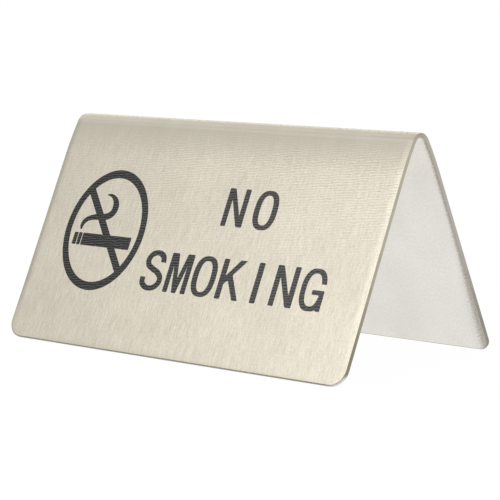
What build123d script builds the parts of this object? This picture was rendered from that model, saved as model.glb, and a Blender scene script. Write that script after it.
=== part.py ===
"""Table-top tent sign: one sheet of stainless steel folded over into two leaves.

X runs along the fold, the printed leaf faces -Y and +Z is up. The origin lies on the
table, midway between the two feet and midway along the fold. All lengths are in
millimetres and all angles in degrees.
"""

import os

from build123d import *

# Flat blank: the sheet before it is folded
sign_width = 100.0
sheet_thickness = 1.0
leaf_straight = 46.1
front_corner_radius = 3.85
back_corner_radius = 2.8
edge_break = 0.15

# Fold, measured on the inside face: a tight crown, and either side of it a shoulder
# where the sheet springs back into a long gentle curve before the leaf runs straight
leaf_opening = 52.6
crown_radius = 2.25
shoulder_radius = 77.5
shoulder_turn = 6.5

crown_turn = 90 - leaf_opening / 2 - shoulder_turn

# Inside line of the back leaf, from the apex of the fold down to the foot
with BuildLine() as leaf_line:
    crown = JernArc((0, 0), (1, 0), crown_radius, -crown_turn)
    shoulder = JernArc(crown @ 1, crown % 1, shoulder_radius, -shoulder_turn)
    leaf_slope = shoulder % 1
    Line(shoulder @ 1, shoulder @ 1 + leaf_slope * leaf_straight)

# The square-cut feet stand on their inside edges, and breaking those edges takes a
# little off, so the fold sits that much lower than the inside line is deep
foot_loss = edge_break * leaf_slope.X
inside_height = leaf_line.line.bounding_box().size.Y - foot_loss
section_plane = Plane(origin=(0, 0, inside_height), x_dir=(0, 1, 0), z_dir=(1, 0, 0))

# Directions square to the two leaves and down them
front_normal = Axis((0, 0, 0), (0, leaf_slope.Y, leaf_slope.X))
back_normal = Axis((0, 0, 0), (0, -leaf_slope.Y, leaf_slope.X))
front_down = Axis((0, 0, 0), (0, -leaf_slope.X, leaf_slope.Y))
back_down = Axis((0, 0, 0), (0, leaf_slope.X, leaf_slope.Y))


def rim_faces(plate):
    """Cut faces of the sheet: the two ends, the two feet and the four rounded corners."""
    flat = plate.faces().filter_by(GeomType.PLANE)
    feet = flat.filter_by(front_down) + flat.filter_by(back_down)
    corners = plate.faces().filter_by(GeomType.CYLINDER).filter_by(Axis.X, reverse=True)
    return flat.filter_by(Axis.X) + feet + corners


def rim_edges(plate):
    """Edges between the cut faces and the two skins, without the seams across the sheet."""
    across = plate.edges().filter_by(front_normal) + plate.edges().filter_by(back_normal)
    return ShapeList(set(rim_faces(plate).edges()) - set(across))


with BuildPart() as sign_plate:
    with BuildSketch(section_plane):
        with BuildLine():
            add(leaf_line.line)
            mirror(about=Plane.YZ)
            offset(amount=sheet_thickness, side=Side.LEFT)
        make_face()
    extrude(amount=sign_width / 2, both=True)
    fillet(sign_plate.edges().filter_by(front_normal), radius=front_corner_radius)
    fillet(sign_plate.edges().filter_by(back_normal), radius=back_corner_radius)
    chamfer(rim_edges(sign_plate), length=edge_break)

sign_plate.part.label = "sign_plate"

os.makedirs("parts", exist_ok=True)
export_step(sign_plate.part, "parts/sign_plate.step")
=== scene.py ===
"""Looks of the folded table sign: its two skins, its cut edge, its print and a plain studio.

The sheet is first laid out flat, as a blank. A point of it has three numbers in
millimetres: x along the fold, run up the front leaf from its foot, over the fold and
down the back leaf, and depth below the outer skin. Everything is made on the blank and
then carried round the fold.
"""

from collections import namedtuple

import bpy
import numpy as np
from mathutils import Matrix, Vector


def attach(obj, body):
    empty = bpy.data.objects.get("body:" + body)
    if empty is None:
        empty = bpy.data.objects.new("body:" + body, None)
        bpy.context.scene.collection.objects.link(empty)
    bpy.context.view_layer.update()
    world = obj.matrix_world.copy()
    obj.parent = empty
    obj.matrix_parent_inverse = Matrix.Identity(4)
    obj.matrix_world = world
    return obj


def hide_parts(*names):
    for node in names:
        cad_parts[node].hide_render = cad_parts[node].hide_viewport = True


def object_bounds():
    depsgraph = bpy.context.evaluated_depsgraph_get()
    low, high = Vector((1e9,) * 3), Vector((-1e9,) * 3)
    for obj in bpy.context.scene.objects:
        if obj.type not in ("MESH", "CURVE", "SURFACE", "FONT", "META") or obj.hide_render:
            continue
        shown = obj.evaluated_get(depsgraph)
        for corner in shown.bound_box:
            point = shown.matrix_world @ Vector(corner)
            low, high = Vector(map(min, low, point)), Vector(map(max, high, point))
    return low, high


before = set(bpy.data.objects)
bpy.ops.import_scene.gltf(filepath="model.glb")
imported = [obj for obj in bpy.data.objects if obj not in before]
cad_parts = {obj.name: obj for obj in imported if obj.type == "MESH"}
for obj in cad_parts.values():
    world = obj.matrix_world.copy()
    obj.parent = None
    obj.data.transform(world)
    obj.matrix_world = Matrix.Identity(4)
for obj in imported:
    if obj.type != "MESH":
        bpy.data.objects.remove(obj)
cad_low, cad_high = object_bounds()

MM = 0.001

# Flat blank, as the solid has it
half_width = cad_high.x / MM
sheet_thickness = 1.0
front_corner_radius = 3.85
back_corner_radius = 2.8
edge_round = 0.215

# The shear drew the outer skin down towards the outline: how wide and how deep. The dip
# reaches its full depth this far from a front corner, and has the least share of it there.
roll_width = 1.9
roll_depth = 0.12
roll_freedom = 12.0
roll_least = 0.3

# Outer line of the fold: a straight leaf, a long gentle shoulder and half of the crown
leaf_straight = 46.1
leaf_rise = np.radians(63.7)
shoulder_turn = np.radians(6.5)
shoulder_radius = 78.5
crown_radius = 3.25
crown_turn = leaf_rise - shoulder_turn

shoulder_start = leaf_straight
crown_start = shoulder_start + shoulder_radius * shoulder_turn
apex_run = crown_start + crown_radius * crown_turn
whole_run = 2 * apex_run

# Points along each part of the sheet's grid. Columns crowd towards the outline.
corner_rows = 13
leaf_rows = 30
shoulder_rows = 15
crown_rows = 61
roll_columns = 9
roll_crowding = 1.3
middle_columns = 20
round_steps = 6
cut_steps = 4

# Print on the front leaf: the symbol's ring, bar, cigarette and smoke. A knot of the
# smoke has its x, its run and the width of the smoke there.
symbol_middle = np.array([-29.35, 28.09])
symbol_outer = np.array([12.46, 14.87])
symbol_inner = np.array([10.70, 12.86])
bar_width = 1.90
cigarette_foot, cigarette_top = 23.84, 26.86
cigarette_ends = (-35.76, -20.3)
ember_middle_ends = (-37.11, -36.03)
ember_tip_ends = (-38.56, -37.34)
smoke_knots = [
    (-36.96, 27.7, 0.50), (-37.01, 28.8, 1.05), (-36.41, 29.85, 1.25), (-35.26, 30.55, 1.25),
    (-33.46, 30.95, 1.4), (-31.26, 31.1, 1.55), (-29.56, 31.5, 1.7), (-28.41, 32.5, 1.8),
    (-28.16, 33.9, 1.85), (-28.66, 35.25, 1.5), (-29.61, 36.15, 1.05), (-30.66, 36.6, 0.68),
    (-31.76, 36.65, 0.3)]

# The two lines of words: foot and top, the middle of the first letter and the pitch
upper_line = {"foot": 31.89, "top": 40.89, "first": 7.78, "pitch": 8.65}
lower_line = {"foot": 15.20, "top": 24.50, "first": -10.60, "pitch": 7.65}

# Letters: widths as shares of their height, shifts from the even pitch, weights of an
# upright and of a level stroke, how far a round letter reaches past the line, and how
# square its oval is
letter_width = {"I": 0.166, "N": 0.681, "G": 0.703}
letter_shift = {"K": 0.16, "G": 0.16}
usual_letter_width = 0.722
upright_weight = 1.42
level_weight = 1.16
overshoot = 0.12
true_oval = 1.0
letter_oval = 0.80

# Corners of the print are a little soft. Points on a soft corner, round a ring and from
# knot to knot of a smooth line.
corner_softness = 0.26
soft_corner_points = 5
ring_points = 144
knot_steps = 10

# How thick the ink stands on the skin, how much more where it is laid over other ink,
# and how far its walls reach into the skin
ink_height = 0.024
ink_lap = 0.003
ink_root = 0.01

# Grains of the finishes. Each has how fine it is along x and along run, where the noise
# is cut, and how much detail it has. The tool lines are cut along depth instead.
Grain = namedtuple("Grain", "x run cut detail roughness")
grains = {
    "row_wander": Grain(x=0.4, run=0.5, cut=13.0, detail=1.0, roughness=0.6),
    "row_swell": Grain(x=0.7, run=0.8, cut=17.0, detail=1.0, roughness=0.6),
    "strokes": Grain(x=2.7, run=0.22, cut=7.0, detail=2.0, roughness=0.9),
    "bands": Grain(x=0.3, run=0.04, cut=5.0, detail=1.0, roughness=0.5),
    "grit": Grain(x=2.4, run=1.8, cut=21.0, detail=1.0, roughness=0.6),
    "cloud": Grain(x=0.06, run=0.07, cut=3.0, detail=2.0, roughness=0.5),
    "patch": Grain(x=0.04, run=0.06, cut=11.0, detail=1.0, roughness=0.5),
    "painted_glints": Grain(x=1.5, run=2.2, cut=29.0, detail=1.0, roughness=0.6),
    "mill_grain": Grain(x=2.3, run=1.6, cut=5.0, detail=2.0, roughness=0.8),
    "mill_cloud": Grain(x=0.12, run=0.08, cut=2.0, detail=2.0, roughness=0.5),
    "painted_shade_speckle": Grain(x=1.3, run=3.0, cut=9.0, detail=2.0, roughness=0.75),
    "tool_lines": Grain(x=5.0, run=5.0, cut=0.6, detail=3.0, roughness=0.6),
    "edge_stain": Grain(x=0.2, run=0.2, cut=4.0, detail=2.0, roughness=0.5),
    "ink_speck": Grain(x=2.2, run=2.2, cut=6.0, detail=2.0, roughness=0.6),
}

# Rows of the linen finish: how their phase grows with run and with x, in radians a mm,
# how far they wander, their even height and how much that swells
row_phase = 10.2
row_tilt = -1.1
row_wander = 8.0
row_height = 0.55
row_swell = 3.0

# Tones of the finishes, from dark to pale
champagne_tones = ((0.500, 0.456, 0.366, 1.0), (0.940, 0.882, 0.750, 1.0))
mill_tones = ((0.780, 0.755, 0.705, 1.0), (0.995, 0.970, 0.920, 1.0))
# The dark band of painted shade along the inner skin's sides, and its tail
painted_shade_band_tones = ((0.390, 0.360, 0.315, 1.0), (0.640, 0.600, 0.545, 1.0))
painted_shade_tail_tone = (0.46, 0.435, 0.395, 1.0)
olive_edge_tones = ((0.300, 0.270, 0.205, 1.0), (0.560, 0.520, 0.425, 1.0))
plain_edge_tones = ((0.310, 0.290, 0.250, 1.0), (0.530, 0.505, 0.455, 1.0))
# Painted pale reflection at the cut edge's front right corner
corner_reflection_tone = (0.78, 0.76, 0.74, 1.0)
full_ink_tones = ((0.001, 0.004, 0.004, 1.0), (0.094, 0.090, 0.086, 1.0))
# Ink tones with a painted sheen on them, greyer
sheen_ink_tones = ((0.049, 0.053, 0.051, 1.0), (0.154, 0.150, 0.144, 1.0))
floor_tones = ((0.86, 0.86, 0.86, 1.0), (0.90, 0.90, 0.90, 1.0))
white = (1.0, 1.0, 1.0, 1.0)
middle_tone = 0.5

# Outer skin. A fade has the places where it starts and ends, in millimetres or as a share
# of the way, and mostly its values there. Relief and tone are shares of the full range.
rows_up_leaf = (0.2, 0.95)
rows_patchiness = 0.8
rows_from_left = (-42.0, 0.0, 0.5, 1.0)
rows_raggedness = 40.0
rows_least = 0.08
rows_relief = 0.16
strokes_to_right = (-10.0, 45.0, 0.66, 0.46)
strokes_loss = 0.16
grit_relief = 0.30
relief_beside_crown = (4.0, 10.0, 0.3, 1.0)
# Painted shade and painted highlight on the crown: darker on its top, a paler stripe on each side
painted_crown_light_inner = (2.0, 3.1, -0.08, 0.12)
painted_crown_light_outer = (3.2, 4.1, 1.0, 0.0)
# Painted glints along the top of the crown, brighter on average
painted_glint_lift = 0.08
painted_glint_strength = (0.6, 1.8, 2.0, 0.0)
bands_tone = 0.08
cloud_tone = 0.14
skin_roughness = 0.32
relief_gloss = 0.15
skin_bump = 0.4

# Inner skin, darker towards the foot as painted light that keeps it paler near the fold, where
# shade falls, and the dark band of painted shade along its sides with its fainter tail
mill_lightness = 0.66
mill_cloud_tone = 0.35
mill_painted_fold_light = 0.36
band_reach = (0.35, 1.0, 0.82, 1.95)
band_fade = (0.45, 1.35, 1.0, 0.0)
band_raggedness = 1.5
tail_reach = 2.0
tail_fade = (0.2, 1.2, 0.30, 0.0)
tail_raggedness = 1.6
mill_roughness = 0.44
mill_grain_roughness = 0.12
band_roughness = 0.12
mill_bump = 0.3

# Cut edge, with the painted reflection that makes its front right corner pale: how far that goes
# up, along and into the edge
edge_lines_tone = 0.7
edge_stain_tone = 0.5
edge_lightness = (apex_run * 0.4, apex_run, 0.85, 0.1)
edge_apex_loss = (0.0, 4.0, 0.25, 0.0)
edge_plain_behind = (apex_run, apex_run + 12.0)
edge_plain_foot = (0.2, 2.5, 1.0, 0.0)
corner_reflection_up = (1.6, 3.1, 1.0, 0.0)
corner_reflection_along = (2.4, 5.0, 1.0, 0.0)
corner_reflection_below = (0.1, 0.35, 0.35, 1.0)
edge_roughness = 0.5
edge_lines_roughness = 0.15
edge_bump = 0.25

# Ink: its rows and specks, where a painted sheen makes it greyer along the sign, and its own sheen
ink_rows_tone = 0.62
ink_speck_tone = 1.5
ink_lightness = 0.45
ink_sheen_along = (-40.0, 45.0)
ink_roughness = 0.55
ink_speck_roughness = 0.15
ink_specular = 0.30
ink_bump = 0.1

# Full heights of the relief in metres
steel_relief = 0.00005
ink_relief = 0.00002

# Surroundings: their even level, the brighter level of the horizon and how high it
# reaches, and the patches on them. A patch has the azimuth of its middle from the front
# towards +X, its elevation, its reach, all in degrees, and its gain.
surroundings_level = 0.80
horizon_level = 1.0
horizon_reach = 0.3
Patch = namedtuple("Patch", "azimuth elevation reach gain")
soft_patches = {
    "softbox_foot": Patch(azimuth=-28.0, elevation=22.0, reach=22.0, gain=0.53),
    "softbox_head": Patch(azimuth=-28.0, elevation=36.0, reach=22.0, gain=0.60),
    "softbox_side": Patch(azimuth=-50.0, elevation=36.0, reach=22.0, gain=0.26),
    "left_light": Patch(azimuth=-92.0, elevation=48.0, reach=22.0, gain=0.12),
    "rear_light": Patch(azimuth=-135.0, elevation=20.0, reach=32.0, gain=0.16),
    "left_dark": Patch(azimuth=-70.0, elevation=24.0, reach=24.0, gain=-0.42),
    "upper_dark": Patch(azimuth=-50.0, elevation=50.0, reach=22.0, gain=-0.40),
    "low_dark": Patch(azimuth=-50.0, elevation=6.0, reach=22.0, gain=-0.38),
}

# Floor: half its side in metres, its speck, and how much of it is plain white where it
# is seen
floor_reach = 20.0
floor_speck = {"Scale": 40.0, "Detail": 3.0}
floor_speck_fade = (0.2, 0.8)
floor_seen_share = 0.95
floor_white_level = 1.02

# Camera of the photograph
camera_place = Vector((0.304845, -0.355676, 0.087267))
camera_azimuth = np.radians(40.4078)
camera_elevation = np.radians(7.9813)
camera_roll = np.radians(-0.4489)
camera_lens = 148.605
camera_nearest = 0.01

# The Mix node repeats the names of its sockets, so those for colours go by number
mix_factor, mix_first, mix_second, mix_result = 0, 6, 7, 2


class Signal:
    """One socket of a node tree. Arithmetic on it adds Math nodes."""

    def __init__(self, tree, socket=None):
        self.tree = tree
        self.socket = socket

    def node(self, kind, settings, values, out=0):
        """Adds a node: its settings first, then each socket's value or link. Gives an output."""
        made = self.tree.nodes.new("ShaderNode" + kind)
        for name, setting in settings.items():
            setattr(made, name, setting)
        for name, value in values.items():
            if isinstance(value, Signal):
                self.tree.links.new(value.socket, made.inputs[name])
            else:
                made.inputs[name].default_value = value
        if isinstance(out, tuple):
            return [Signal(self.tree, made.outputs[name]) for name in out]
        return Signal(self.tree, made.outputs[out])

    def math(self, operation, *values):
        """Adds a Math node over the values, which may be signals or numbers."""
        return self.node("Math", {"operation": operation}, dict(enumerate(values)))

    def __add__(self, other):
        return self.math("ADD", self, other)

    def __sub__(self, other):
        return self.math("SUBTRACT", self, other)

    def __rsub__(self, other):
        return self.math("SUBTRACT", other, self)

    def __mul__(self, other):
        return self.math("MULTIPLY", self, other)

    def __truediv__(self, other):
        return self.math("DIVIDE", self, other)

    def __abs__(self):
        return self.math("ABSOLUTE", self)

    __radd__ = __add__
    __rmul__ = __mul__

    def sine(self):
        return self.math("SINE", self)

    def most(self, other):
        return self.math("MAXIMUM", self, other)

    def fade(self, start, end, low=0.0, high=1.0):
        """Goes smoothly from low to high as the signal goes from start to end."""
        values = {"Value": self, "From Min": start, "From Max": end, "To Min": low, "To Max": high}
        return self.node("MapRange", {"interpolation_type": "SMOOTHSTEP"}, values)

    def mix(self, first, second):
        """Mixes two colours with this signal as the factor."""
        values = {mix_factor: self, mix_first: first, mix_second: second}
        return self.node("Mix", {"data_type": "RGBA"}, values, mix_result)


def new_material(name):
    """An empty node material and a signal that starts its tree."""
    material = bpy.data.materials.new(name)
    material.use_nodes = True
    material.node_tree.nodes.clear()
    return material, Signal(material.node_tree)


def set_surface(start, shader, kind="OutputMaterial"):
    """Links a shader to the output of its tree."""
    output = start.tree.nodes.new("ShaderNode" + kind)
    start.tree.links.new(shader.socket, output.inputs["Surface"])


def blank_place(start):
    """Where a shaded point lies on the blank: x, run and depth in millimetres."""
    blank = start.node("Attribute", {"attribute_name": "blank"}, {}, "Vector")
    return start.node("SeparateXYZ", {}, {0: blank}, ("X", "Y", "Z"))


def noise(start, name, x, run, depth=None):
    """One of the grains as a signal about zero, at most about half a unit each way."""
    grain = grains[name]
    third = grain.cut if depth is None else depth * grain.cut
    vector = start.node("CombineXYZ", {}, {"X": x * grain.x, "Y": run * grain.run, "Z": third})
    values = {"Vector": vector, "Scale": 1.0, "Detail": grain.detail, "Roughness": grain.roughness}
    return start.node("TexNoise", {}, values) - 0.5


def relief_normal(start, height, strength, distance):
    """The normal of a surface with a fine relief."""
    return start.node("Bump", {}, {"Height": height, "Strength": strength, "Distance": distance})


def bare_steel(start, colour, roughness, normal):
    """Makes the material plain metal of a colour, a roughness and a relief."""
    values = {"Base Color": colour, "Metallic": 1.0, "Roughness": roughness, "Normal": normal}
    set_surface(start, start.node("BsdfPrincipled", {}, values))


def weave_rows(start, x, run):
    """Fine even rows along the fold, which wander and come and go, from about -1 to 1."""
    wander = noise(start, "row_wander", x, run)
    swell = noise(start, "row_swell", x, run)
    phase = run * row_phase + x * row_tilt + wander * row_wander
    return phase.sine() * (row_height + swell * row_swell)


def brushed_skin():
    """Outer skin: warm steel with a linen finish, rows along the fold and strokes down the leaf.

    The rows stand out below the fold, and fade towards the feet and the left side. The
    bend itself has drawn the finish smooth. On the crown the colour holds painted shade,
    darker on top, a painted highlight paler beside it, and painted glints here and there
    along the top.
    """
    material, start = new_material("brushed_champagne_steel")
    x, run, _ = blank_place(start)
    rows = weave_rows(start, x, run)
    strokes = noise(start, "strokes", x, run)
    bands = noise(start, "bands", x, run)
    grit = noise(start, "grit", x, run)
    cloud = noise(start, "cloud", x, run)
    patch = noise(start, "patch", x, run)
    painted_glints = noise(start, "painted_glints", x, run)
    beside = abs(run - apex_run)

    # How strongly the rows and the strokes are pressed at each place of a leaf
    to_fold = 1.0 - beside / apex_run
    level = (to_fold + patch * rows_patchiness).fade(*rows_up_leaf)
    from_left = (x + cloud * rows_raggedness).fade(*rows_from_left)
    pressed = from_left * (rows_least + (1 - rows_least) * level) * rows_relief
    drawn = (x - run).fade(*strokes_to_right) - strokes_loss * level
    whole = rows * pressed + strokes * drawn + grit * grit_relief
    relief = whole * beside.fade(*relief_beside_crown)

    # The crown: painted shade darker on top, a painted highlight as a paler stripe on each side of
    # it, and painted glints along the top
    painted_crown_light = beside.fade(*painted_crown_light_inner) * beside.fade(*painted_crown_light_outer)
    painted_glint = (painted_glints + painted_glint_lift) * beside.fade(*painted_glint_strength)
    tone = relief + bands * bands_tone + cloud * cloud_tone + painted_crown_light + painted_glint + middle_tone
    colour = tone.fade(0.0, 1.0).mix(*champagne_tones)
    normal = relief_normal(start, relief, skin_bump, steel_relief)
    bare_steel(start, colour, skin_roughness - relief * relief_gloss, normal)
    return material


def mill_skin():
    """Inner skin: plain grey mill finish, with a ragged dark band along its side edges.

    The band is painted shade. It is narrow near the fold and spreads towards the foot, and a
    fainter tail of it reaches twice as far in. The colour also grows darker towards the foot:
    painted light, paler near the fold, where shade falls.
    """
    material, start = new_material("grey_mill_steel")
    x, run, _ = blank_place(start)
    grain = noise(start, "mill_grain", x, run)
    cloud = noise(start, "mill_cloud", x, run)
    speckle = noise(start, "painted_shade_speckle", x, run)
    to_foot = abs(run - apex_run) / apex_run
    # Darker towards the foot: painted light, paler near the fold, where shade falls
    tone = grain + cloud * mill_cloud_tone + mill_lightness - to_foot * mill_painted_fold_light
    clean = tone.fade(0.0, 1.0).mix(*mill_tones)

    # The band and its tail: painted shade along the side edges
    inward = half_width - abs(x)
    reach = to_foot.fade(*band_reach)
    band = (inward / reach + speckle * band_raggedness).fade(*band_fade)
    tail = (inward / (reach * tail_reach) + speckle * tail_raggedness).fade(*tail_fade)
    painted_shade_colour = (grain + middle_tone).fade(0.0, 1.0).mix(*painted_shade_band_tones)
    colour = band.mix(tail.mix(clean, painted_shade_tail_tone), painted_shade_colour)
    roughness = mill_roughness + grain * mill_grain_roughness + band * band_roughness
    bare_steel(start, colour, roughness, relief_normal(start, grain, mill_bump, steel_relief))
    return material


def sheared_edge():
    """Cut edge: olive grey up the front, plainer grey at the front foot and behind.

    It is paler towards the fold, darker over its apex, and has fine tool lines across it.
    The front right corner is painted pale, a painted reflection, less so next to the outer skin.
    """
    material, start = new_material("sheared_steel_edge")
    x, run, depth = blank_place(start)
    lines = noise(start, "tool_lines", x, run, depth)
    stain = noise(start, "edge_stain", x, run)
    beside = abs(run - apex_run)
    lightness = beside.fade(*edge_lightness) - beside.fade(*edge_apex_loss)
    tone = (lines * edge_lines_tone + stain * edge_stain_tone + lightness).fade(0.0, 1.0)
    plain = run.fade(*edge_plain_behind).most(run.fade(*edge_plain_foot))
    cut = plain.mix(tone.mix(*olive_edge_tones), tone.mix(*plain_edge_tones))

    # Painted reflection: the front right corner of the edge is painted pale, less so next to the
    # outer skin
    painted_corner_reflection = run.fade(*corner_reflection_up) * (half_width - x).fade(*corner_reflection_along)
    colour = (painted_corner_reflection * depth.fade(*corner_reflection_below)).mix(cut, corner_reflection_tone)
    normal = relief_normal(start, lines, edge_bump, steel_relief)
    bare_steel(start, colour, edge_roughness + lines * edge_lines_roughness, normal)
    return material


def slate_ink():
    """Screen ink: near-black slate with the rows of the skin under it, a little greyer
    from the symbol to the words' end.
    """
    material, start = new_material("slate_screen_ink")
    x, run, _ = blank_place(start)
    rows = weave_rows(start, x, run)
    speck = noise(start, "ink_speck", x, run)
    tone = (rows * ink_rows_tone + speck * ink_speck_tone + ink_lightness).fade(0.0, 1.0)
    # The second tone is the ink with a painted sheen, which it takes on along the sign
    full, lean = tone.mix(*full_ink_tones), tone.mix(*sheen_ink_tones)
    values = {
        "Base Color": x.fade(*ink_sheen_along).mix(full, lean),
        "Roughness": ink_roughness + speck * ink_speck_roughness,
        "Specular IOR Level": ink_specular,
        "Normal": relief_normal(start, rows, ink_bump, ink_relief),
    }
    set_surface(start, start.node("BsdfPrincipled", {}, values))
    return material


def fold_line(run):
    """Outer line of the fold at the given runs, which hold its joints: y, z and slope.

    The slope stays level along a leaf and falls evenly along each arc. Each step goes
    along the chord of its own piece of arc, whose direction is the mean of its two
    slopes, and the apex is then put at the middle and at the top of the solid's box.
    """
    joints = [0, shoulder_start, crown_start, whole_run - crown_start,
              whole_run - shoulder_start, whole_run]
    slopes = [leaf_rise, leaf_rise, crown_turn, -crown_turn, -leaf_rise, -leaf_rise]
    slope = np.interp(run, joints, slopes)
    half_bend = np.diff(slope) / 2
    chord = np.diff(run) * np.sinc(half_bend / np.pi)
    middle = slope[:-1] + half_bend
    y = np.concatenate([[0], np.cumsum(chord * np.cos(middle))])
    z = np.concatenate([[0], np.cumsum(chord * np.sin(middle))])
    return y - y[-1] / 2, z - z.max() + cad_high.z / MM, slope


def corner_runs(radius):
    """Runs of the rows round a corner, closer together where the outline turns level."""
    angle = np.linspace(0, np.pi / 2, corner_rows)
    return edge_round + (radius - edge_round) * (1 - np.cos(angle))


def blank_rows():
    """Runs of the rows of faces, from foot to foot, close together where the sheet bends."""
    front = corner_runs(front_corner_radius)
    back = whole_run - corner_runs(back_corner_radius)[::-1]
    crown_end, leaf_end = whole_run - crown_start, whole_run - shoulder_start
    return np.concatenate([
        front,
        np.linspace(front[-1], shoulder_start, leaf_rows)[1:],
        np.linspace(shoulder_start, crown_start, shoulder_rows)[1:],
        np.linspace(crown_start, crown_end, crown_rows)[1:],
        np.linspace(crown_end, leaf_end, shoulder_rows)[1:],
        np.linspace(leaf_end, back[0], leaf_rows)[1:],
        back[1:],
    ])


sheet_rows = blank_rows()
line_run = np.concatenate([[0], sheet_rows, [whole_run]])
line_y, line_z, line_slope = fold_line(line_run)


def carry(x, run, depth):
    """Carries points of the blank round the fold, into metres.

    A point lies on the outer line at its run, and as deep below it as its depth,
    square to the line.
    """
    slope = np.interp(run, line_run, line_slope)
    y = np.interp(run, line_run, line_y) + depth * np.sin(slope)
    z = np.interp(run, line_run, line_z) - depth * np.cos(slope)
    return np.stack([x, y, z], axis=-1) * MM


def make_piece(name, blank, faces, material_of_face, materials):
    """A mesh of points of the blank, carried round the fold, that rides on the sign."""
    mesh = bpy.data.meshes.new(name)
    mesh.from_pydata(carry(*blank.T).tolist(), [], faces)
    attribute = mesh.attributes.new("blank", "FLOAT_VECTOR", "POINT")
    attribute.data.foreach_set("vector", blank.astype(np.float32).ravel())
    for material in materials:
        mesh.materials.append(material)
    mesh.polygons.foreach_set("material_index", np.asarray(material_of_face, np.int32))
    mesh.update()
    piece = bpy.data.objects.new(name, mesh)
    bpy.context.scene.collection.objects.link(piece)
    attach(piece, "root")
    return piece


def grid_faces(row_count, column_count):
    """Quads of a grid of points that are numbered row by row, as an array of corners."""
    corner = np.arange(row_count * column_count).reshape(row_count, column_count)
    quads = [corner[:-1, :-1], corner[:-1, 1:], corner[1:, 1:], corner[1:, :-1]]
    return np.stack(quads, axis=-1).reshape(-1, 4)


def inset(x, run):
    """Distance in from the blank's outline, round its corners too."""
    to_side = half_width - abs(x)
    to_foot = np.minimum(run, whole_run - run)
    radius = np.where(run < apex_run, front_corner_radius, back_corner_radius)
    from_middle = np.hypot(np.maximum(radius - to_side, 0), np.maximum(radius - to_foot, 0))
    return np.minimum(np.minimum(to_side, to_foot), radius - from_middle)


def shear_roll(x, run):
    """How far the outer skin dips: a parabola, level where it starts, deepest at the outline.

    Its depth grows with the distance from the nearer front corner, from the least share
    of it to the whole.
    """
    share = np.clip(np.hypot(half_width - abs(x), run) / roll_freedom, roll_least, 1)
    return roll_depth * share * np.clip(1 - inset(x, run) / roll_width, 0, 1) ** 2


def skin_columns():
    """Places of the columns from -1 to 1, close together within the roll at each side."""
    near = np.linspace(0, 1, roll_columns)[:-1] ** roll_crowding * roll_width
    middle = np.linspace(half_width - roll_width, 0, middle_columns)
    half = np.concatenate([half_width - near, middle]) / half_width
    return np.concatenate([-half, half[-2::-1]])


def corner_bow(to_end, radius):
    """How far the skin's side lies in at a corner, and how far its outline has turned.

    The first is the fall of a circle as far from its widest as the row is, and the second
    the sine of the turn.
    """
    inner = radius - edge_round
    fall = np.clip(radius - to_end, 0, inner)
    return inner - np.sqrt(inner ** 2 - fall ** 2), fall / inner


def folded_sheet():
    """The whole sheet: two skins and the cut edge between them.

    A skin is a grid: its rows run along the fold, and each spans the blank there less
    the rounded edge, so at a corner its half width falls by the corner's circle. The
    edge is a band along the outline. Its section goes out and down by a quarter circle,
    straight down the cut, and back in by another quarter circle. The outer skin and the
    upper part of the band then dip by the shear's roll.
    """
    columns = skin_columns()
    front_bow, front_sine = corner_bow(sheet_rows, front_corner_radius)
    back_bow, back_sine = corner_bow(whole_run - sheet_rows, back_corner_radius)
    reach = half_width - edge_round - front_bow - back_bow
    skin_x = reach[:, None] * columns
    skin_run = np.broadcast_to(sheet_rows[:, None], skin_x.shape)

    # The loop goes along the front foot, up one side, back along the back foot and down
    sine = back_sine - front_sine
    cosine = np.sqrt(1 - sine ** 2)
    numbers = np.arange(skin_x.size).reshape(skin_x.shape)
    loop = np.concatenate([numbers[0, :-1], numbers[:-1, -1], numbers[-1, :0:-1],
                           numbers[:0:-1, 0]])
    foot = np.zeros(len(columns) - 1)
    out_x = np.concatenate([foot, cosine[:-1], foot, -cosine[:0:-1]])
    out_run = np.concatenate([foot - 1, sine[:-1], foot + 1, sine[:0:-1]])
    loop_x, loop_run = skin_x.ravel()[loop], skin_run.ravel()[loop]

    turn = np.linspace(0, np.pi / 2, round_steps)
    out = edge_round * np.concatenate([np.sin(turn), np.ones(cut_steps - 2), np.cos(turn)])
    down = edge_round * (1 - np.cos(turn))
    cut = np.linspace(edge_round, sheet_thickness - edge_round, cut_steps)[1:-1]
    depth = np.concatenate([down, cut, sheet_thickness - down[::-1]])

    band_x = loop_x + out[1:-1, None] * out_x
    band_run = loop_run + out[1:-1, None] * out_run
    band_depth = np.broadcast_to(depth[1:-1, None], band_x.shape)
    skin = np.stack([skin_x, skin_run, np.zeros_like(skin_x)], axis=-1).reshape(-1, 3)
    inner = skin + [0, 0, sheet_thickness]
    band = np.stack([band_x, band_run, band_depth], axis=-1).reshape(-1, 3)
    blank = np.concatenate([skin, band, inner])
    x, run, level = blank.T
    blank[:, 2] = level + shear_roll(x, run) * (1 - level / sheet_thickness)

    outer_faces = grid_faces(*skin_x.shape)
    inner_faces = outer_faces[:, ::-1] + len(skin) + len(band)
    rings = np.concatenate([loop[None], len(skin) + np.arange(len(band)).reshape(band_x.shape),
                            loop[None] + len(skin) + len(band)])
    ahead = np.roll(rings, -1, axis=1)
    band_faces = np.stack([rings[:-1], rings[1:], ahead[1:], ahead[:-1]], axis=-1).reshape(-1, 4)
    faces = np.concatenate([outer_faces, inner_faces, band_faces])
    which = np.repeat([0, 1, 2], [len(outer_faces), len(inner_faces), len(band_faces)])
    sheet = make_piece("folded_sheet", blank, faces.tolist(), which,
                       [brushed_skin(), mill_skin(), sheared_edge()])
    sheet.data.polygons.foreach_set("use_smooth", np.ones(len(faces), bool))
    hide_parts("sign_plate")


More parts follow.
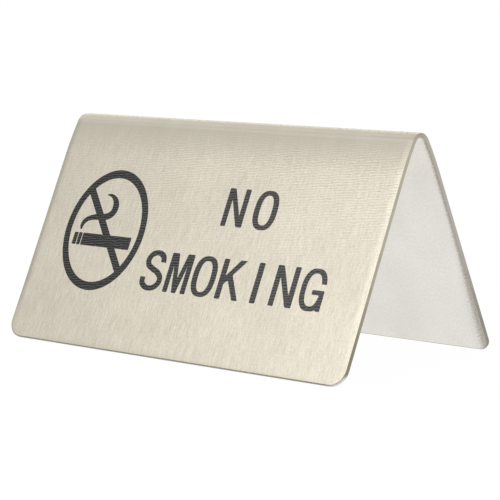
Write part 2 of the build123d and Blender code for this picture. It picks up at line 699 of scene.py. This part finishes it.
def film(name, top, faces, rims, lap, ink):
    """A flat shape of the print as a closed film of ink on the front leaf.

    top holds its points as x and run, faces the quads or outlines that fill it, and rims
    its closed outlines, each with the ink on its left. The same points lie again in the
    skin, and each outline gets a wall. A film laid over another has a higher lap.
    """
    count = len(top)
    high = np.column_stack([top, np.full(count, -ink_height - lap * ink_lap)])
    low = np.column_stack([top, np.full(count, ink_root)])
    walls = []
    for rim in rims:
        ahead = np.roll(rim, -1)
        walls.extend(np.column_stack([rim, rim + count, ahead + count, ahead]).tolist())
    under = [[corner + count for corner in face[::-1]] for face in faces]
    every = faces + under + walls
    make_piece(name, np.concatenate([high, low]), every, np.zeros(len(every)), [ink])


def toward(points, others):
    """Unit vectors from each point to its other."""
    step = others - points
    return step / np.linalg.norm(step, axis=1)[:, None]


def plate(name, outline, ink, lap=0):
    """A straight-sided shape of the print, from its outline's corners, counterclockwise.

    Each corner becomes a small curve, as ink has it: the corner plus its softness times
    the square of 1 - t along the side before it and the square of t along the next.
    """
    corners = np.asarray(outline, float)
    before = toward(corners, np.roll(corners, 1, axis=0))[:, None]
    after = toward(corners, np.roll(corners, -1, axis=0))[:, None]
    share = np.linspace(0, 1, soft_corner_points)[:, None]
    bow = corners[:, None] + corner_softness * (before * (1 - share) ** 2 + after * share ** 2)
    top = bow.reshape(-1, 2)
    rim = np.arange(len(top))
    film(name, top, [rim.tolist()], [rim], lap, ink)


def oval(middle, half_axes, turn, squareness):
    """Points of an oval at the given turns in degrees.

    Each is the middle plus each half axis times the cosine or the sine of the turn, both
    raised to a power that keeps their sign. A power below 1 makes the oval squarer.
    """
    shape = np.column_stack([np.cos(np.radians(turn)), np.sin(np.radians(turn))])
    return middle + np.sign(shape) * abs(shape) ** squareness * half_axes


def ring(name, middle, outer, inner, squareness, ink, lap=0):
    """A closed ring of the print between two ovals about one middle."""
    turn = np.linspace(0, 360, ring_points + 1)[:-1]
    top = np.concatenate([oval(middle, outer, turn, squareness),
                          oval(middle, inner, turn, squareness)])
    near = np.arange(ring_points)
    ahead = (near + 1) % ring_points
    faces = np.column_stack([near, ahead, ahead + ring_points, near + ring_points]).tolist()
    film(name, top, faces, [near, near[::-1] + ring_points], lap, ink)


def smooth_through(knots):
    """A smooth line through knots: between two, a cubic that leaves each as its neighbours lie."""
    knots = np.asarray(knots, float)
    lean = np.gradient(knots, axis=0)
    place = np.linspace(0, len(knots) - 1, knot_steps * (len(knots) - 1) + 1)
    step = np.minimum(place.astype(int), len(knots) - 2)
    share = (place - step)[:, None]
    first, last = knots[step], knots[step + 1]
    rise = share ** 2 * (3 - 2 * share)
    return (first * (1 - rise) + last * rise + lean[step] * share * (1 - share) ** 2
            - lean[step + 1] * share ** 2 * (1 - share))


def headings(line):
    """Unit vectors along a line of points, one at each point."""
    along = np.gradient(line, axis=0)
    return along / np.linalg.norm(along, axis=1)[:, None]


def stroke(name, line, width, ink, lap=0, level=0):
    """A stroke of the print along a line of x and run, with its width at each point.

    Each point of the line gives two, half a width to its right and to its left. They lie
    square to the line where level is 0 and along x where it is 1, and the step to them is
    longer by as much as it is turned, so the stroke keeps its width.
    """
    square = headings(line)[:, ::-1] * [1, -1]
    aside = square * (1 - level) + np.sign(square[:, :1]) * [1, 0] * level
    aside = aside * (width / 2 / np.sum(aside * square, axis=1))[:, None]
    top = np.concatenate([line + aside, line - aside])
    count = len(line)
    near = np.arange(count - 1)
    faces = np.column_stack([near, near + 1, near + 1 + count, near + count]).tolist()
    rim = np.concatenate([np.arange(count), np.arange(count)[::-1] + count])
    film(name, top, faces, [rim], lap, ink)


def block(left, foot, right, top):
    """Corners of an upright rectangle of the print."""
    return [(left, foot), (right, foot), (right, top), (left, top)]


def cigarette_part(name, ends, ink, lap=0):
    """A piece of the cigarette between two places along x."""
    left, right = ends
    plate(name, block(left, cigarette_foot, right, cigarette_top), ink, lap)


def pictogram(ink):
    """The common no smoking symbol: an oval ring, a bar, and a cigarette with its smoke."""
    ring("print_ring", symbol_middle, symbol_outer, symbol_inner, true_oval, ink, lap=3)

    # The bar lies at 45 degrees in a round symbol, and is stretched upright with it
    slope = np.array([-1.0, 1.0]) * (symbol_outer + symbol_inner) / 2 / np.sqrt(2)
    across = slope[::-1] * [1, -1] / np.linalg.norm(slope) * bar_width / 2
    upper, lower = symbol_middle + slope, symbol_middle - slope
    plate("print_bar", [upper - across, lower - across, lower + across, upper + across], ink)

    cigarette_part("print_cigarette", cigarette_ends, ink, lap=1)
    cigarette_part("print_ember_middle", ember_middle_ends, ink)
    cigarette_part("print_ember_tip", ember_tip_ends, ink)
    smoke = smooth_through(smoke_knots)
    stroke("print_smoke", smoke[:, :2], smoke[:, 2], ink, lap=2)


def letter_stroke(name, line, weight, settle, ink):
    """A stroke of a letter, heavier where it runs upright than where it runs level.

    Its ends are cut level, and it lies square again after as many points as settle says.
    """
    upright = abs(headings(line)[:, 1])
    width = weight * (level_weight + (upright_weight - level_weight) * upright)
    place = np.arange(len(line))
    level = np.clip(1 - np.minimum(place, place[::-1]) / settle, 0, 1)
    stroke(name, line, width, ink, level=level[:, None])


def letter_i(name, left, foot, right, top, ink):
    """One upright."""
    plate(name, block(left, foot, right, top), ink)


def letter_k(name, left, foot, right, top, ink):
    """A stem with an arm, and a leg from the arm's underside, as one outline."""
    width, height = right - left, top - foot
    stem = left + 1.07 * upright_weight
    leg = right - 1.13 * upright_weight
    arm_left, arm_right = right - 0.295 * width, right - 0.02 * width
    arm_low, arm_high = foot + 0.385 * height, foot + 0.585 * height
    fork = (left + 0.373 * width, foot + 0.475 * height)
    knee = (left + 0.514 * width, foot + 0.615 * height)
    plate(name, [(left, foot), (stem, foot), (stem, arm_low), fork, (leg, foot), (right, foot),
                 knee, (arm_right, top), (arm_left, top), (stem, arm_high), (stem, top),
                 (left, top)], ink)


def letter_m(name, left, foot, right, top, ink):
    """Two stems and a steep V between them, as one outline."""
    stem = 0.985 * upright_weight
    shoulder, tip = 1.44 * upright_weight, 0.44 * upright_weight
    middle = (left + right) / 2
    notch = foot + 0.37 * (top - foot)
    gap = foot + 0.69 * (top - foot)
    plate(name, [(left, foot), (left + stem, foot), (left + stem, gap), (middle - tip, foot),
                 (middle + tip, foot), (right - stem, gap), (right - stem, foot),
                 (right, foot), (right, top), (right - shoulder, top), (middle, notch),
                 (left + shoulder, top), (left, top)], ink)


def letter_n(name, left, foot, right, top, ink):
    """Two stems and a diagonal between them, as one outline."""
    stem, slant = 1.02 * upright_weight, 1.15 * upright_weight
    notch = 0.71 * (top - foot)
    plate(name, [(left, foot), (left + stem, foot), (left + stem, foot + notch),
                 (right - slant, foot), (right, foot), (right, top), (right - stem, top),
                 (right - stem, top - notch), (left + slant, top), (left, top)], ink)


def round_letter(left, foot, right, top):
    """Middle and half axes of a round letter, which reaches a little past the line."""
    middle = np.array([left + right, foot + top]) / 2
    return middle, np.array([(right - left) / 2, (top - foot) / 2 + overshoot])


def letter_o(name, left, foot, right, top, ink):
    """A squarish oval, heavier at its sides than at its top and foot."""
    middle, outer = round_letter(left, foot, right, top)
    side, cap = 1.09 * upright_weight, 0.98 * level_weight
    ring(name, middle, outer, outer - [side, cap], letter_oval, ink)


def letter_g(name, left, foot, right, top, ink):
    """A squarish oval that is open at its right, and a spur with a level bar there."""
    middle, outer = round_letter(left, foot, right, top)
    half_stroke = 0.93 * np.array([upright_weight, level_weight]) / 2
    lip_to_lip = np.linspace(15, 343, 63)
    bow = oval(middle, outer - half_stroke, lip_to_lip, letter_oval)
    letter_stroke(name + "_bow", bow, weight=0.965, settle=23, ink=ink)

    side = right - 0.13
    inside = side - 0.88 * upright_weight
    bar_end = left + 0.484 * (right - left)
    bar_top = (foot + top) / 2
    bar_foot = bar_top - 0.91 * level_weight
    plate(name + "_spur", [(inside, foot), (side, foot), (side, bar_top), (bar_end, bar_top),
                           (bar_end, bar_foot), (inside, bar_foot)], ink, lap=1)


def letter_s(name, left, foot, right, top, ink):
    """Two oval bows, the upper one narrower, with a slant between them.

    The upper bow turns from the letter's upper end round by the left, and the lower one
    from the slant round by the right to the lower end. Both are knots of one smooth line.
    """
    middle = np.array([left + right, foot + top]) / 2
    reach = np.array([right - left - upright_weight, (top - foot - level_weight) / 2]) / 2
    upper_middle, upper_reach = middle + [-0.02, 2.27], reach * [0.865, 0.953]
    lower_middle, lower_reach = middle - [0.07, 2.16], reach * [0.99, 1.025]
    upper_turns, lower_turns = np.linspace(-6, 258, 7), np.linspace(63, -192, 7)
    upper = oval(upper_middle, upper_reach, upper_turns, true_oval)
    lower = oval(lower_middle, lower_reach, lower_turns, true_oval)
    slant = (upper[-1] + lower[0]) / 2
    line = smooth_through(np.concatenate([upper, [slant], lower]))
    letter_stroke(name, line, weight=1.06, settle=13, ink=ink)


letters = {"G": letter_g, "I": letter_i, "K": letter_k, "M": letter_m, "N": letter_n,
           "O": letter_o, "S": letter_s}


def set_line(place, word, line, ink):
    """A word of plain condensed letters, each a shape of its own, at an even pitch."""
    height = line["top"] - line["foot"]
    for number, letter in enumerate(word):
        middle = line["first"] + number * line["pitch"] + letter_shift.get(letter, 0)
        reach = letter_width.get(letter, usual_letter_width) * height / 2
        name = f"letter_{place}_{number + 1}_{letter.lower()}"
        letters[letter](name, middle - reach, line["foot"], middle + reach, line["top"], ink)


def studio_floor():
    """Floor: pale, and white where it is seen directly or in the steel, with a faint shadow."""
    material, start = new_material("pale_floor")
    speck = start.node("TexNoise", {}, floor_speck)
    colour = speck.fade(*floor_speck_fade).mix(*floor_tones)
    matt = start.node("BsdfDiffuse", {}, {"Color": colour, "Roughness": 0.0})
    plain = start.node("Emission", {}, {"Color": white, "Strength": floor_white_level})
    names = ("Is Camera Ray", "Is Glossy Ray", "Is Transmission Ray")
    camera, glossy, transmission = start.node("LightPath", {}, {}, names)
    seen = camera.most(glossy).most(transmission) * floor_seen_share
    set_surface(start, start.node("MixShader", {}, {0: seen, 1: matt, 2: plain}))
    near, far = -floor_reach, floor_reach
    mesh = bpy.data.meshes.new("floor")
    mesh.from_pydata([(near, near, 0), (far, near, 0), (far, far, 0), (near, far, 0)], [],
                     [(0, 1, 2, 3)])
    mesh.materials.append(material)
    floor = bpy.data.objects.new("floor", mesh)
    bpy.context.scene.collection.objects.link(floor)


def studio_world():
    """Pale surroundings: an even level, a brighter horizon, and soft round patches on them.

    A patch adds its gain at its middle, and fades out smoothly to nothing at its reach.
    """
    world = bpy.data.worlds.new("pale_studio")
    bpy.context.scene.world = world
    world.use_nodes = True
    world.node_tree.nodes.clear()
    start = Signal(world.node_tree)
    direction = start.node("TexCoord", {}, {}, "Generated")
    x, y, z = start.node("SeparateXYZ", {}, {0: direction}, ("X", "Y", "Z"))
    level = z.fade(0.0, horizon_reach, horizon_level, surroundings_level)
    for patch in soft_patches.values():
        turn, rise = np.radians([patch.azimuth, patch.elevation])
        middle = np.array([np.sin(turn), -np.cos(turn), np.tan(rise)]) * np.cos(rise)
        near = x * middle[0] + y * middle[1] + z * middle[2]
        level = level + near.fade(np.cos(np.radians(patch.reach)), 1.0, 0.0, patch.gain)
    background = start.node("Background", {}, {"Color": level, "Strength": 1.0})
    set_surface(start, background, "OutputWorld")


def photo_camera():
    """The photograph's camera: looks along its azimuth and elevation, rolled a little."""
    cos_a, sin_a = np.cos(camera_azimuth), np.sin(camera_azimuth)
    cos_e, sin_e = np.cos(camera_elevation), np.sin(camera_elevation)
    back = Vector((sin_a * cos_e, -cos_a * cos_e, sin_e))
    level = Vector((cos_a, sin_a, 0.0))
    right = level * np.cos(camera_roll) + back.cross(level) * np.sin(camera_roll)
    up = back.cross(right)
    data = bpy.data.cameras.new("photo_camera")
    data.lens = camera_lens
    data.clip_start = camera_nearest
    camera = bpy.data.objects.new("photo_camera", data)
    turn = Matrix((right, up, back)).transposed().to_4x4()
    camera.matrix_world = Matrix.Translation(camera_place) @ turn
    bpy.context.scene.collection.objects.link(camera)
    bpy.context.scene.camera = camera


photo_camera()
folded_sheet()
screen_ink = slate_ink()
pictogram(screen_ink)
set_line("upper", "NO", upper_line, screen_ink)
set_line("lower", "SMOKING", lower_line, screen_ink)
studio_floor()
studio_world()
bpy.context.scene.view_settings.view_transform = "Standard"
